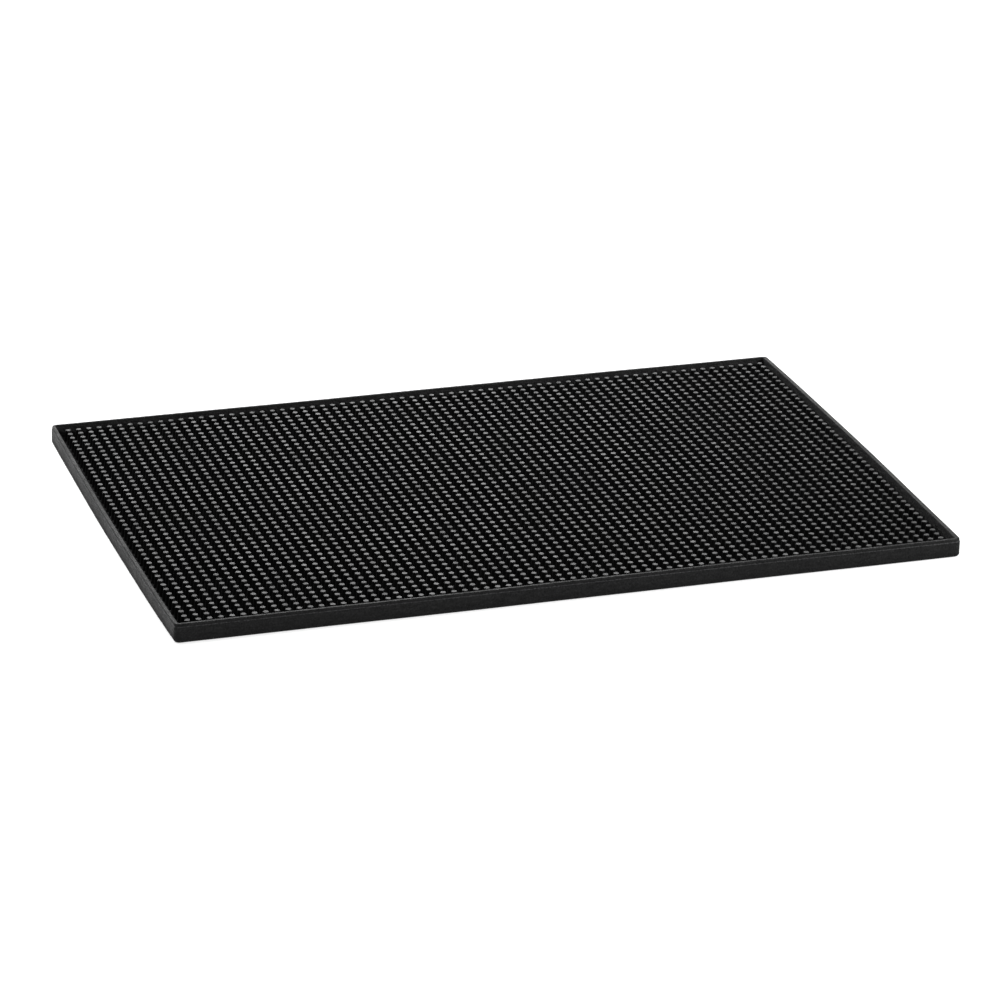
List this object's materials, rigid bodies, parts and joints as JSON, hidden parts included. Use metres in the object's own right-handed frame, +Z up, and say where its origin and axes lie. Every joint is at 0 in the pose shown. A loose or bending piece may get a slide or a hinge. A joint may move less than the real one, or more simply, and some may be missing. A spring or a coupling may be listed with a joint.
{
  "type": "bar service mat",
  "caption": "Rectangular black rubber bar service mat: a raised rim round a field of round flat-topped drainage nubs, flat underneath.",
  "frame": {"origin": "middle of the flat underside, on the counter", "axes": "+X along the mat's length to the right, +Y across its width to the back, +Z up from the counter"},
  "size_m": [0.45, 0.3, 0.011],
  "materials": {
    "base_web": "matte moulded black rubber",
    "nub_field": "satin moulded black rubber",
    "rim_front": "satin moulded black rubber",
    "rim_back": "satin moulded black rubber",
    "rim_left": "satin moulded black rubber",
    "rim_right": "satin moulded black rubber"
  },
  "bodies": {
    "root": {"base_web": "base_web", "nub_field": "nub_field", "rim_front": "rim_front", "rim_back": "rim_back", "rim_left": "rim_left", "rim_right": "rim_right"}
  },
  "joints": []
}
